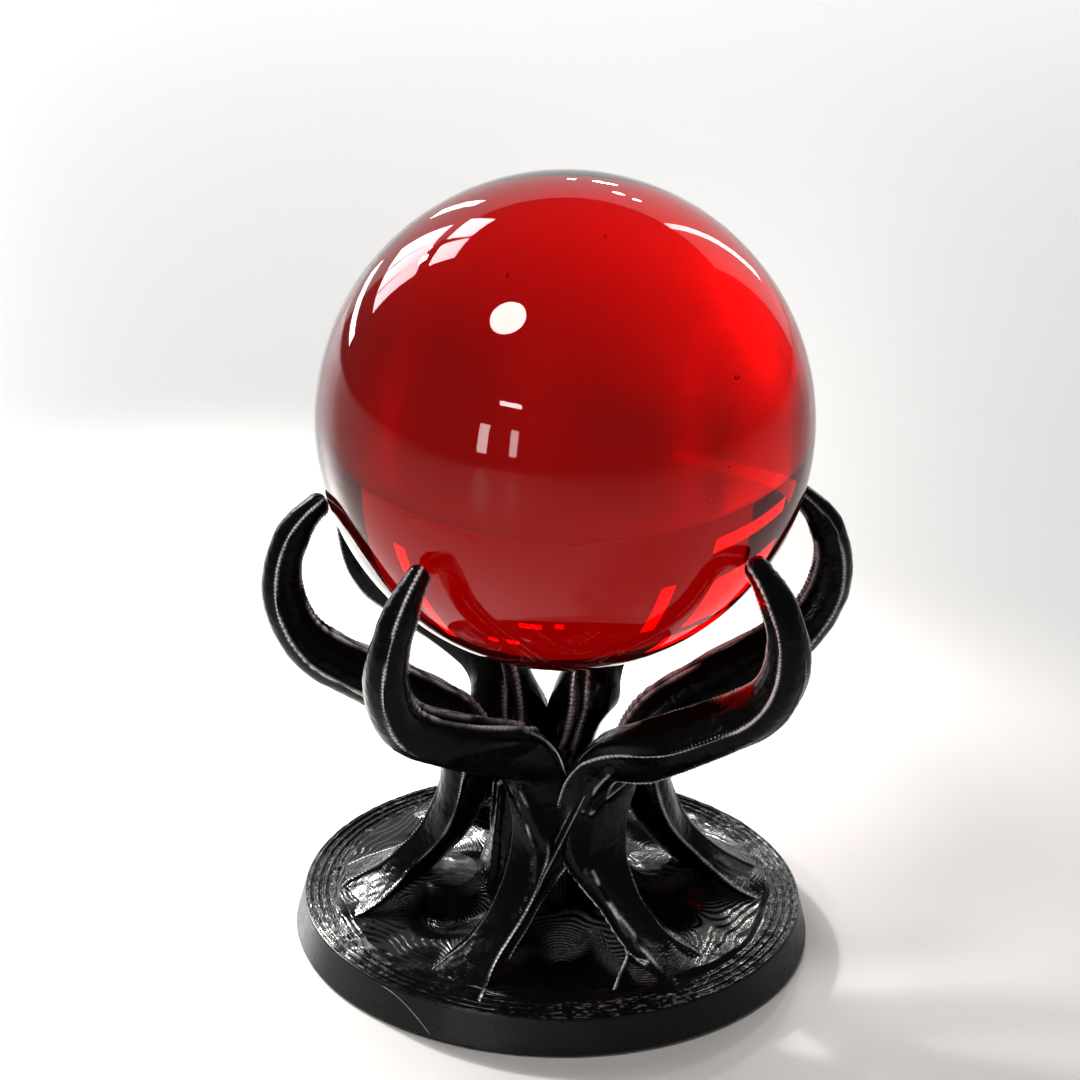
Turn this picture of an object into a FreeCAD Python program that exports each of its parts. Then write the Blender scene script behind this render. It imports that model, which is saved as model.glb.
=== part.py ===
import FreeCAD, Part

import math
import os

# A glass ball resting on the tips of six horn-like arms.  The arms are the upper ends of six limbs that
# rise from a round base, meet at a narrow waist and open out under the ball.  At the front, and again
# at the back, two limbs cross; the limb at each side rises straight.
# Millimetres, +Z up, origin on the table under the middle of the base, front towards -Y.
# An azimuth is in degrees: 0 is the front, 90 is the right-hand side (+X).

# ---- driving dimensions -------------------------------------------------------------------------
BALL_RADIUS = 50.0
BALL_BOTTOM_Z = 64.0  # lowest point of the seated ball
SEAT_GAP = 0.3  # between the ball and each tip
SEAT_ANGLE = 19.0  # how far below the ball's equator the tips touch it

BASE_RADIUS = 54.7  # at the table
BASE_TOP_RADIUS = 52.9
BASE_HEIGHT = 7.8
BASE_CHAMFER = 0.8
RIM_GROOVE_RADII = (51.3, 49.6, 48.0)
RIM_GROOVE_WIDTH = 0.7
RIM_GROOVE_DEPTH = 0.35

RELIEF_RADIUS = 46.6  # the raised ground that the roots grow from
RELIEF_EDGE_HEIGHT = 0.7
RELIEF_MIDDLE_HEIGHT = 2.6
RELIEF_MIDDLE_RADIUS = 26.0

CORE_FOOT_RADIUS = 19.0  # the hub in the middle, that all the limbs are bonded to
CORE_WAIST_RADIUS = 14.5
CORE_TOP_RADIUS = 14.0
CORE_TOP_Z = 41.0

FOOT_RADIUS = 42.0  # where a limb's centreline meets the ground
FOOT_Z = 8.6
TOE_LENGTH = 4.2
WAIST_RADIUS = 18.2
WAIST_Z = 39.0
LEG_FLARE = 2.5  # how quickly a leg spreads below the waist
LAP = 3.6  # the outer limb of a crossing lies this much further out than the inner one
LAP_AZIMUTH = 6.0  # middle of the front crossing
LAP_STAGES = (0.36, 0.5, 0.65, 0.8, 0.95, 1.1, 1.26)  # stretch over which the two are halved
LAP_PLAY = 0.5  # the notches are this much wider than the limb they take, at each side
LAP_REACH = 60.0  # the halving tools are simply larger than the limbs
ELBOW_RADIUS = 13.0
ARM_RUN = 26.0  # straight stretch between the elbow and the claw
CLAW_END_ANGLE = 50.0  # the claw's last direction, from upright, leaning in over the ball

# The front half; the back half is the same three limbs turned by half a turn.
# front name, back name, azimuths of foot, waist, arm and tip, stage where it leaves its foot's
# azimuth, lap side (1 outer, -1 inner), section turn, foot width
LIMBS = (
    ("limb_front_right", "limb_back_left", (-19.5, 24.0, 52.0, 49.0), 0.112, 1.0, 0.0, 11.5),
    ("limb_front_left", "limb_back_right", (31.0, -12.0, -36.0, -33.0), 0.408, -1.0, -40.0, 16.0),
    ("limb_left", "limb_right", (-82.0, -83.0, -81.0, -83.0), 0.276, 0.0, 0.0, 22.0),
)

# section sizes along a limb: stage, width, thickness, crest.  Stage 0 is the foot, 1 the waist,
# 2 the start of the claw and 3 its tip.  A crest of 1 is a sharp ridge along the outer side.
# The width at stage 0 is each limb's own foot width.
SECTIONS = (
    (0.00, 0.0, 6.0, 0.8),
    (0.30, 10.0, 7.6, 0.6),
    (0.66, 15.5, 9.6, 0.3),
    (1.00, 14.0, 11.4, 0.2),
    (1.50, 12.6, 11.8, 0.1),
    (2.00, 11.6, 10.6, 0.0),
    (2.35, 10.4, 8.8, 0.0),
    (2.75, 7.8, 6.8, 0.0),
    (3.00, 5.4, 4.6, 0.0),
)
TIP_THICKNESS = SECTIONS[-1][2]
RIDGE_OUT = 0.30  # the side ridges lie this far out from the centreline, in half thicknesses
FULLNESS = 0.78  # how square the rounded sides are
STAGES = (0.0, 0.15, 0.3, 0.45, 0.55, 0.65, 0.75, 0.85, 0.95, 1.05)
STAGES += (1.2, 1.4, 1.6, 1.8, 2.0, 2.2, 2.4, 2.6, 2.8, 3.0)


def polar(radius, azimuth, z):
    a = math.radians(azimuth)
    return FreeCAD.Vector(radius * math.sin(a), -radius * math.cos(a), z)


def smooth(u):
    u = min(max(u, 0.0), 1.0)
    return u * u * (3.0 - 2.0 * u)


# ---- the line of one limb -----------------------------------------------------------------------
class Limb:
    """One limb from toe to tip: an exponential flare, an elbow arc, a straight run and a claw arc."""

    def __init__(self, azimuths, leave, lap_side, turn, foot_width, half_turn):
        self.azimuths = [a + half_turn for a in azimuths]
        self.leave, self.turn, self.foot_width = leave, turn, foot_width
        self.waist = WAIST_RADIUS + lap_side * LAP / 2.0
        reach = BALL_RADIUS + SEAT_GAP + TIP_THICKNESS / 2.0
        seat = math.radians(SEAT_ANGLE)
        self.tip = (reach * math.cos(seat), BALL_BOTTOM_Z + BALL_RADIUS - reach * math.sin(seat))
        # the claw arc runs tangent from the straight run to the tip
        end = math.radians(CLAW_END_ANGLE)
        towards = (math.cos(end), math.sin(end))
        self.elbow_at = (self.waist + ELBOW_RADIUS, WAIST_Z)
        dr, dz = self.tip[0] - self.elbow_at[0], self.tip[1] - self.elbow_at[1]
        self.claw_radius = (dr * dr + dz * dz - ELBOW_RADIUS**2 - ARM_RUN**2) / (
            2.0 * (dr * towards[0] + dz * towards[1] + ELBOW_RADIUS)
        )
        self.claw_at = (
            self.tip[0] - self.claw_radius * towards[0],
            self.tip[1] - self.claw_radius * towards[1],
        )
        cr, cz = self.claw_at[0] - self.elbow_at[0], self.claw_at[1] - self.elbow_at[1]
        span = math.hypot(cr, cz)
        self.lean = math.atan2(cr, cz) + math.asin((ELBOW_RADIUS + self.claw_radius) / span)

    def profile(self, stage):
        """Radius and height of the centreline."""
        if stage <= 1.0:
            z = FOOT_Z + (WAIST_Z - FOOT_Z) * stage
            left = math.exp(-LEG_FLARE)
            fall = (math.exp(-LEG_FLARE * stage) - left) / (1.0 - left)
            return self.waist + (FOOT_RADIUS - self.waist) * fall, z
        bend = ELBOW_RADIUS * self.lean
        if stage <= 2.0:
            along = (stage - 1.0) * (bend + ARM_RUN)
            turned = min(along / ELBOW_RADIUS, self.lean)
            straight = max(along - bend, 0.0)
            return (
                self.elbow_at[0] - ELBOW_RADIUS * math.cos(turned) + straight * math.sin(self.lean),
                self.elbow_at[1] + ELBOW_RADIUS * math.sin(turned) + straight * math.cos(self.lean),
            )
        turned = -self.lean + (stage - 2.0) * (self.lean + math.radians(CLAW_END_ANGLE))
        return (
            self.claw_at[0] + self.claw_radius * math.cos(turned),
            self.claw_at[1] + self.claw_radius * math.sin(turned),
        )

    def azimuth(self, stage):
        foot, waist, arm, tip = self.azimuths
        if stage <= 1.0:
            return foot + (waist - foot) * smooth((stage - self.leave) / (1.0 - self.leave))
        if stage <= 2.2:
            return waist + (arm - waist) * smooth((stage - 1.0) / 1.2)
        return arm + (tip - arm) * smooth((stage - 2.2) / 0.8)

    def point(self, stage):
        if stage < 0.0:
            near, at = self.point(0.02), self.point(0.0)
            return at + (at - near).normalize() * (-stage * TOE_LENGTH)
        radius, z = self.profile(stage)
        return polar(radius, self.azimuth(stage), z)

    def frame(self, stage):
        """Direction, outward normal and sideways direction."""
        step = 0.01
        low, high = (stage - step, stage) if stage > 3.0 - step else (stage, stage + step)
        if stage < 0.0:
            low, high = 0.0, step
        along = (self.point(high) - self.point(low)).normalize()
        around = polar(1.0, self.azimuth(max(stage, 0.0)) + 90.0, 0.0)
        out = around.cross(along).normalize()
        return along, out, along.cross(out)


def section_size(limb, stage):
    stage = max(stage, 0.0)
    for low, high in zip(SECTIONS, SECTIONS[1:]):
        if stage <= high[0]:
            u = smooth((stage - low[0]) / (high[0] - low[0]))
            start = (limb.foot_width,) + low[2:] if low[0] == 0.0 else low[1:]
            return [a + (b - a) * u for a, b in zip(start, high[1:])]
    return list(SECTIONS[-1][1:])


def bezier(*poles):
    curve = Part.BezierCurve()
    curve.setPoles(list(poles))
    return curve.toShape()


def section(limb, stage, scale=1.0, shift=0.0):
    """Closed outline across a limb: two side ridges, a crest on the outer side, a round inner side."""
    along, out, side = limb.frame(stage)
    turn = math.radians(limb.turn) * smooth(stage - 1.0)
    n = out * math.cos(turn) + side * math.sin(turn)
    b = side * math.cos(turn) - out * math.sin(turn)
    width, thickness, crest = section_size(limb, stage)
    w, t = scale * width / 2.0, scale * thickness / 2.0
    middle = limb.point(stage) + along * shift
    ridge = RIDGE_OUT * t

    def at(across, outward):
        return middle + b * (across * w) + n * outward

    right, left, top = at(1.0, ridge), at(-1.0, ridge), at(0.0, t)
    shoulder = t + (ridge - t) * crest * 0.5
    inner = -(t + 0.25 * ridge) / 0.75  # a cubic reaches three quarters of the way to these poles
    edges = [
        bezier(right, at(FULLNESS, ridge + (t - ridge) * 0.7), at(0.4, shoulder), top),
        bezier(top, at(-0.4, shoulder), at(-FULLNESS, ridge + (t - ridge) * 0.7), left),
        bezier(left, at(-FULLNESS, inner), at(FULLNESS, inner), right),
    ]
    return Part.Wire(edges)


def limb_solid(limb):
    wires = [section(limb, -1.0, 0.35), section(limb, -0.6, 0.62)]
    wires += [section(limb, stage) for stage in STAGES]
    cap = TIP_THICKNESS / 2.0
    wires += [section(limb, 3.0, math.cos(math.radians(a)), cap * math.sin(math.radians(a))) for a in (40, 68)]
    solid = Part.makeLoft(wires, True, False)
    floor = Part.makeBox(400, 400, 100, FreeCAD.Vector(-200, -200, BASE_HEIGHT - 100))
    return solid.cut(floor)


def strip(near, far, direction):
    """A solid between two smooth lines of points, extended along the given direction."""
    edges = []
    for points in (near, far[::-1]):
        curve = Part.BSplineCurve()
        curve.interpolate(points)
        edges.append(curve.toShape())
    edges.insert(1, Part.makeLine(near[-1], far[-1]))
    edges.append(Part.makeLine(far[0], near[0]))
    return Part.Face(Part.Wire(edges)).extrude(direction)


def outline_prism(limb, out):
    """Everything in line with the halved stretch of a limb, seen along the given direction."""
    across = FreeCAD.Vector(-out.y, out.x, 0.0)
    edges = ([], [])
    for stage in LAP_STAGES:
        side = limb.frame(stage)[2] * (section_size(limb, stage)[0] / 2.0 + LAP_PLAY)
        for ridge, edge in zip((limb.point(stage) - side, limb.point(stage) + side), edges):
            edge.append(across * ridge.dot(across) + FreeCAD.Vector(0, 0, ridge.z))
    return strip(*edges, out * LAP_REACH)


def halved(outer, inner, half_turn):
    """Two crossing limbs notched into each other, along a surface midway between their centrelines."""
    out = polar(1.0, LAP_AZIMUTH + half_turn, 0.0)
    across = FreeCAD.Vector(-out.y, out.x, 0.0)
    middle, axis = [], []
    for stage in LAP_STAGES:
        halfway = (outer.point(stage) + inner.point(stage)) * 0.5
        axis.append(FreeCAD.Vector(0, 0, halfway.z) - across * (LAP_REACH / 2.0))
        middle.append(axis[-1] + out * halfway.dot(out))
    behind = strip(axis, middle, across * LAP_REACH)
    outer_shape = limb_solid(outer).cut(outline_prism(inner, out).common(behind))
    inner_shape = limb_solid(inner).cut(outline_prism(outer, out).cut(behind))
    return outer_shape, inner_shape


# ---- the turned pieces --------------------------------------------------------------------------
def turned(points):
    wire = Part.makePolygon([FreeCAD.Vector(r, 0, z) for r, z in points + points[:1]])
    return Part.Face(wire).revolve(FreeCAD.Vector(0, 0, 0), FreeCAD.Vector(0, 0, 1), 360)


def base_disc():
    slope = (BASE_RADIUS - BASE_TOP_RADIUS) / (BASE_HEIGHT - BASE_CHAMFER)
    disc = turned(
        [
            (0.0, 0.0),
            (BASE_RADIUS - BASE_CHAMFER, 0.0),
            (BASE_RADIUS, BASE_CHAMFER),
            (BASE_RADIUS - slope * (BASE_HEIGHT - BASE_CHAMFER), BASE_HEIGHT),
            (0.0, BASE_HEIGHT),
        ]
    )
    for radius in RIM_GROOVE_RADII:
        half = RIM_GROOVE_WIDTH / 2.0
        disc = disc.cut(
            turned(
                [
                    (radius - half, BASE_HEIGHT),
                    (radius, BASE_HEIGHT - RIM_GROOVE_DEPTH),
                    (radius + half, BASE_HEIGHT),
                    (radius, BASE_HEIGHT + RIM_GROOVE_DEPTH),
                ]
            )
        )
    return disc


def root_relief(limbs, core):
    ground = turned(
        [
            (0.0, BASE_HEIGHT),
            (RELIEF_RADIUS, BASE_HEIGHT),
            (RELIEF_RADIUS, BASE_HEIGHT + RELIEF_EDGE_HEIGHT),
            (RELIEF_MIDDLE_RADIUS, BASE_HEIGHT + RELIEF_MIDDLE_HEIGHT),
            (0.0, BASE_HEIGHT + RELIEF_MIDDLE_HEIGHT),
        ]
    )
    for piece in limbs + [core]:
        ground = ground.cut(piece)
    return ground


def trunk_core(limbs):
    middle_z = (BASE_HEIGHT + CORE_TOP_Z) / 2.0
    curve = Part.BSplineCurve()
    curve.interpolate(
        [
            FreeCAD.Vector(CORE_FOOT_RADIUS, 0, BASE_HEIGHT),
            FreeCAD.Vector(CORE_WAIST_RADIUS, 0, middle_z),
            FreeCAD.Vector(CORE_TOP_RADIUS, 0, CORE_TOP_Z),
        ]
    )
    low, high = FreeCAD.Vector(0, 0, BASE_HEIGHT), FreeCAD.Vector(0, 0, CORE_TOP_Z)
    edges = [
        Part.makeLine(low, curve.StartPoint),
        curve.toShape(),
        Part.makeLine(curve.EndPoint, high),
        Part.makeLine(high, low),
    ]
    core = Part.Face(Part.Wire(edges)).revolve(FreeCAD.Vector(0, 0, 0), FreeCAD.Vector(0, 0, 1), 360)
    for piece in limbs:
        core = core.cut(piece)
    return core


def main():
    os.makedirs("parts", exist_ok=True)
    shapes = {}
    for half_turn, at in ((0.0, 0), (180.0, 1)):
        outer, inner, side = [Limb(*limb[2:], half_turn) for limb in LIMBS]
        solids = halved(outer, inner, half_turn) + (limb_solid(side),)
        shapes.update({limb[at]: solid for limb, solid in zip(LIMBS, solids)})
    limbs = list(shapes.values())
    shapes["trunk_core"] = trunk_core(limbs)
    shapes["root_relief"] = root_relief(limbs, shapes["trunk_core"])
    shapes["base_disc"] = base_disc()
    shapes["crystal_ball"] = Part.makeSphere(
        BALL_RADIUS, FreeCAD.Vector(0, 0, BALL_BOTTOM_Z + BALL_RADIUS)
    )
    for name, shape in shapes.items():
        shape.exportStep("parts/" + name + ".step")
        print(name, "solids", len(shape.Solids), "valid", shape.isValid(), "volume", round(shape.Volume, 1))


main()
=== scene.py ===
import math

import bmesh
import bpy
import numpy as np
from mathutils import Matrix, Vector


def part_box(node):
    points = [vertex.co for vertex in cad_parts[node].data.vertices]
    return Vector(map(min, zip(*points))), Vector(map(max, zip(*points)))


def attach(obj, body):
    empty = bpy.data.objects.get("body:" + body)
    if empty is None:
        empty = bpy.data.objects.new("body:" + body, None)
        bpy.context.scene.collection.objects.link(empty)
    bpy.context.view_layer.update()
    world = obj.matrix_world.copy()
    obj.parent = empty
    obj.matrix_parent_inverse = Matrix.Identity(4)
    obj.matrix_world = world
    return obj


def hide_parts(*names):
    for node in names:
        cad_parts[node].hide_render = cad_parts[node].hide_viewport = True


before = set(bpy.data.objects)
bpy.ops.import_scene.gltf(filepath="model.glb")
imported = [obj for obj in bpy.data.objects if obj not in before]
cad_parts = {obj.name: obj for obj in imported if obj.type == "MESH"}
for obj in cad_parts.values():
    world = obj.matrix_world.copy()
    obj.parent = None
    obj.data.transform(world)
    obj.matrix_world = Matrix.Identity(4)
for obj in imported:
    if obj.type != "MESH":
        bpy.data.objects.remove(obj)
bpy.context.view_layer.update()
MM = 0.001


# ---- sizes, in millimetres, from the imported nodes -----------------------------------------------
def box_mm(node):
    """Corners of a node's box, in mm."""
    low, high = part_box(node)
    return np.array(low) / MM, np.array(high) / MM


ball_low, ball_high = box_mm("crystal_ball")
BALL_RADIUS = (ball_high[2] - ball_low[2]) / 2.0
BALL_CENTRE_Z = (ball_high[2] + ball_low[2]) / 2.0
base_low, base_high = box_mm("base_disc")
BASE_RADIUS = (base_high[0] - base_low[0]) / 2.0
BASE_HEIGHT = base_high[2]
BASE_FLARE = 1.8
BASE_TOP_RADIUS = BASE_RADIUS - BASE_FLARE
BASE_CHAMFER = 0.8
RELIEF_RADIUS = box_mm("root_relief")[1][0]
CORE_TOP_Z = box_mm("trunk_core")[1][2]

SEAT_GAP = 0.3
SEAT_ANGLE = 19.0
FOOT_RADIUS, FOOT_Z, TOE_LENGTH = 42.0, 8.6, 4.2
WAIST_RADIUS, WAIST_Z, LEG_FLARE, LAP = 18.2, 39.0, 2.5, 3.6
ELBOW_RADIUS, ARM_RUN, CLAW_END_ANGLE = 13.0, 26.0, 50.0

# name, mirror-side name, azimuths of foot, waist, arm, tip, leave height, lap side, turn, foot width
LIMBS = (
    ("limb_front_right", "limb_back_left", (-19.5, 24.0, 52.0, 49.0), 12.0, 1.0, 0.0, 11.5),
    ("limb_front_left", "limb_back_right", (31.0, -12.0, -36.0, -33.0), 21.0, -1.0, -40.0, 16.0),
    ("limb_left", "limb_right", (-82.0, -83.0, -81.0, -83.0), 17.0, 0.0, 0.0, 22.0),
)
# stage, width, thickness, crest
SECTIONS = np.array([
    (0.00, 0.0, 6.0, 0.8), (0.30, 10.0, 7.6, 0.6), (0.66, 15.5, 9.6, 0.3), (1.00, 14.0, 11.4, 0.2),
    (1.50, 12.6, 11.8, 0.1), (2.00, 11.6, 10.6, 0.0), (2.35, 10.4, 8.8, 0.0), (2.75, 7.8, 6.8, 0.0),
    (3.00, 5.4, 4.6, 0.0),
])
TIP_THICKNESS = SECTIONS[-1][2]
LAYER, FINE_LAYER = 0.4, 0.22  # printed layers, as they show on the limbs and on the base wall
rng = np.random.default_rng(7)


# ---- number helpers -----------------------------------------------------------------------------
def smooth(u):
    """Smooth step from 0 to 1."""
    u = np.clip(u, 0.0, 1.0)
    return u * u * (3.0 - 2.0 * u)


LATTICE_SIZE = 64
LATTICE = rng.random((LATTICE_SIZE,) * 3) * 2.0 - 1.0
SEED_SHIFT, LATTICE_SHIFT = 17.31, 100.0


def noise(points, scale, seed=0):
    """Smooth value noise from -1 to 1 at points in mm, with features about scale mm across."""
    p = np.asarray(points, float) / scale + SEED_SHIFT * seed + LATTICE_SHIFT
    cell = np.floor(p).astype(int)
    f = smooth(p - cell)
    total = 0.0
    for corner in range(8):
        offset = np.array([(corner >> k) & 1 for k in range(3)])
        weight = np.prod(np.where(offset, f, 1.0 - f), axis=-1)
        at = (cell + offset) % LATTICE_SIZE
        total = total + weight * LATTICE[at[..., 0], at[..., 1], at[..., 2]]
    return total


def terraced(z, pitch, edge=0.30):
    """Heights gathered into layers, with a rounded step of the given share between them."""
    layer = np.floor(z / pitch)
    u = z / pitch - layer
    return (layer + smooth((u - 0.5) / edge + 0.5)) * pitch


# ---- the line of one limb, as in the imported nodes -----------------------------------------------
def polar(radius, azimuth, z):
    """Points at a radius and a height; azimuth 0 is the front and 90 degrees the right."""
    a = np.radians(azimuth)
    return np.stack([radius * np.sin(a), -radius * np.cos(a), z + 0.0 * radius], axis=-1)


def unit(v):
    return v / np.linalg.norm(v, axis=-1, keepdims=True)


def flare(stage):
    """How far out a leg is, from 1 at the foot to 0 at the waist."""
    left = math.exp(-LEG_FLARE)
    return (np.exp(-LEG_FLARE * stage) - left) / (1.0 - left)


class Limb:
    """The centreline of a limb: stage 0 is the foot, 1 the waist, 2 the end of the arm and 3 the tip."""

    def __init__(self, azimuths, leave_z, lap_side, turn, foot_width, half_turn):
        self.azimuths = [a + half_turn for a in azimuths]
        self.leave_z, self.turn, self.foot_width = leave_z, turn, foot_width
        self.waist = WAIST_RADIUS + lap_side * LAP / 2.0
        reach = BALL_RADIUS + SEAT_GAP + TIP_THICKNESS / 2.0
        seat = math.radians(SEAT_ANGLE)
        self.tip = (reach * math.cos(seat), BALL_CENTRE_Z - reach * math.sin(seat))
        end = math.radians(CLAW_END_ANGLE)
        towards = (math.cos(end), math.sin(end))
        self.elbow_at = (self.waist + ELBOW_RADIUS, WAIST_Z)
        dr, dz = self.tip[0] - self.elbow_at[0], self.tip[1] - self.elbow_at[1]
        self.claw_radius = (dr * dr + dz * dz - ELBOW_RADIUS**2 - ARM_RUN**2) / (
            2.0 * (dr * towards[0] + dz * towards[1] + ELBOW_RADIUS)
        )
        self.claw_at = (
            self.tip[0] - self.claw_radius * towards[0],
            self.tip[1] - self.claw_radius * towards[1],
        )
        cr, cz = self.claw_at[0] - self.elbow_at[0], self.claw_at[1] - self.elbow_at[1]
        self.lean = math.atan2(cr, cz) + math.asin((ELBOW_RADIUS + self.claw_radius) / math.hypot(cr, cz))

    def profile(self, stage):
        """Radius and height of the centreline."""
        leg = np.clip(stage, 0.0, 1.0)
        r0 = self.waist + (FOOT_RADIUS - self.waist) * flare(leg)
        z0 = FOOT_Z + (WAIST_Z - FOOT_Z) * leg
        bend = ELBOW_RADIUS * self.lean
        along = (np.clip(stage, 1.0, 2.0) - 1.0) * (bend + ARM_RUN)
        turned = np.minimum(along / ELBOW_RADIUS, self.lean)
        straight = np.maximum(along - bend, 0.0)
        r1 = self.elbow_at[0] - ELBOW_RADIUS * np.cos(turned) + straight * math.sin(self.lean)
        z1 = self.elbow_at[1] + ELBOW_RADIUS * np.sin(turned) + straight * math.cos(self.lean)
        turned = -self.lean + (np.clip(stage, 2.0, 3.0) - 2.0) * (self.lean + math.radians(CLAW_END_ANGLE))
        r2 = self.claw_at[0] + self.claw_radius * np.cos(turned)
        z2 = self.claw_at[1] + self.claw_radius * np.sin(turned)
        r = np.where(stage <= 1.0, r0, np.where(stage <= 2.0, r1, r2))
        z = np.where(stage <= 1.0, z0, np.where(stage <= 2.0, z1, z2))
        return r, z

    def azimuth(self, stage):
        foot, waist, arm, tip = self.azimuths
        z = self.profile(stage)[1]
        low = foot + (waist - foot) * smooth((z - self.leave_z) / (WAIST_Z - self.leave_z))
        mid = waist + (arm - waist) * smooth((stage - 1.0) / 1.2)
        high = arm + (tip - arm) * smooth((stage - 2.2) / 0.8)
        return np.where(stage <= 1.0, low, np.where(stage <= 2.2, mid, high))

    def point(self, stage):
        r, z = self.profile(stage)
        return polar(r, self.azimuth(stage), z)

    def frame(self, stage):
        """Unit directions along the limb, outwards from it, and across it."""
        low = np.clip(stage, 0.0, 2.99)
        along = unit(self.point(low + 0.01) - self.point(low))
        around = polar(np.ones_like(stage), self.azimuth(np.maximum(stage, 0.0)) + 90.0, 0.0)
        out = unit(np.cross(around, along))
        return along, out, np.cross(along, out)


def section_size(limb, stage):
    """Width, thickness and crest of the limb's sections."""
    stage = np.clip(stage, 0.0, 3.0)
    keys = SECTIONS.copy()
    keys[0, 1] = limb.foot_width
    i = np.clip(np.searchsorted(keys[:, 0], stage, side="left") - 1, 0, len(keys) - 2)
    u = smooth((stage - keys[i, 0]) / (keys[i + 1, 0] - keys[i, 0]))[:, None]
    return (keys[i, 1:] + (keys[i + 1, 1:] - keys[i, 1:]) * u).T


# ---- materials ----------------------------------------------------------------------------------
class Nodes:
    """A material with one Principled shader, and short ways to add nodes to it."""

    def __init__(self, name):
        self.material = bpy.data.materials.new(name)
        self.material.use_nodes = True
        self.tree = self.material.node_tree
        self.tree.nodes.clear()
        self.output = self.tree.nodes.new("ShaderNodeOutputMaterial")
        self.bsdf = self.add("ShaderNodeBsdfPrincipled")
        self.link(self.bsdf, "BSDF", self.output, "Surface")

    def add(self, kind, **settings):
        """A node with its settings and the values of its sockets."""
        node = self.tree.nodes.new(kind)
        for key, value in settings.items():
            if key in node.inputs:
                node.inputs[key].default_value = value
            else:
                setattr(node, key, value)
        return node

    def link(self, a, a_socket, b, b_socket):
        self.tree.links.new(a.outputs[a_socket], b.inputs[b_socket])

    def noise(self, position, scale, detail):
        """Noise with features about 1 / scale metres across."""
        node = self.add("ShaderNodeTexNoise", Scale=scale, Detail=detail)
        self.link(position, "Position", node, "Vector")
        return node.outputs["Fac"]

    def math(self, operation, a, b=None):
        node = self.add("ShaderNodeMath", operation=operation)
        for i, value in enumerate((a, b)):
            if value is None:
                continue
            if isinstance(value, (int, float)):
                node.inputs[i].default_value = value
            else:
                self.tree.links.new(value, node.inputs[i])
        return node.outputs[0]


PAINTED_HIGHLIGHT_COLOR = (0.85, 0.85, 0.86)  # painted highlight: pale colour mixed in along the ridges
IOR = 1.5


def printed(name, color, roughness, layer, depth, specular):
    """Printed plastic: level layer lines, slight unevenness along them, patches of differing gloss, and a
    painted highlight along the ridges.
    """
    m = Nodes(name)
    position = m.add("ShaderNodeNewGeometry")
    m.bsdf.inputs["IOR"].default_value = IOR
    m.bsdf.inputs["Specular IOR Level"].default_value = specular

    split = m.add("ShaderNodeSeparateXYZ")
    m.link(position, "Position", split, "Vector")
    wobble = m.math("MULTIPLY", m.noise(position, 180.0, 2.0), 0.35)
    z = m.math("ADD", m.math("DIVIDE", split.outputs["Z"], layer), wobble)
    ripple = m.math("ABSOLUTE", m.math("SUBTRACT", m.math("FRACT", z), 0.5))
    round_line = m.math("POWER", m.math("MULTIPLY", ripple, 2.0), 3.0)
    grain = m.math("MULTIPLY", m.noise(position, 2600.0, 3.0), 0.35)
    bump = m.add("ShaderNodeBump", Strength=1.0, Distance=depth)
    m.tree.links.new(m.math("ADD", m.math("MULTIPLY", round_line, -1.0), grain), bump.inputs["Height"])
    m.link(bump, "Normal", m.bsdf, "Normal")

    gloss = m.add("ShaderNodeMapRange", **{"From Min": 0.3, "From Max": 0.7})
    gloss.inputs["To Min"].default_value, gloss.inputs["To Max"].default_value = roughness
    m.tree.links.new(m.noise(position, 320.0, 3.0), gloss.inputs["Value"])
    m.link(gloss, "Result", m.bsdf, "Roughness")

    # Painted highlight: where the ridge attribute is high, specks of a pale colour are mixed into the base
    # colour.
    ridge = m.add("ShaderNodeAttribute", attribute_name="ridge")
    speckle = m.math("MULTIPLY", m.noise(position, 1500.0, 1.0), 1.6)
    highlight_mix = m.add("ShaderNodeMix", data_type="RGBA", clamp_factor=True)
    highlight_mix.inputs["A"].default_value = (*color, 1.0)
    highlight_mix.inputs["B"].default_value = (*PAINTED_HIGHLIGHT_COLOR, 1.0)
    m.tree.links.new(m.math("MULTIPLY", ridge.outputs["Fac"], speckle), highlight_mix.inputs["Factor"])
    m.tree.links.new(highlight_mix.outputs["Result"], m.bsdf.inputs["Base Color"])
    return m.material


def red_glass():
    """Clear glass whose red comes from the way the light goes through it."""
    m = Nodes("red_glass")
    m.bsdf.inputs["Base Color"].default_value = (1.0, 1.0, 1.0, 1.0)
    m.bsdf.inputs["Transmission Weight"].default_value = 1.0
    m.bsdf.inputs["Roughness"].default_value = 0.0
    m.bsdf.inputs["IOR"].default_value = IOR
    absorb = m.add("ShaderNodeVolumeAbsorption", Color=(0.925, 0.0, 0.16, 1.0), Density=148.0)
    m.link(absorb, "Volume", m.output, "Volume")
    return m.material


def pale_floor():
    """Plain pale floor."""
    m = Nodes("pale_floor")
    m.bsdf.inputs["Base Color"].default_value = (0.78, 0.775, 0.77, 1.0)
    m.bsdf.inputs["Roughness"].default_value = 0.35
    return m.material


GLOSS_BLACK, SATIN_BLACK = (0.0035, 0.0035, 0.004), (0.005, 0.005, 0.0055)
MATERIALS = {
    "printed_gloss": printed("printed_gloss", GLOSS_BLACK, (0.09, 0.21), LAYER * MM, 0.012 * MM, 0.22),
    "printed_satin": printed("printed_satin", SATIN_BLACK, (0.24, 0.34), FINE_LAYER * MM, 0.01 * MM, 0.45),
    "red_glass": red_glass(),
}


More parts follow.
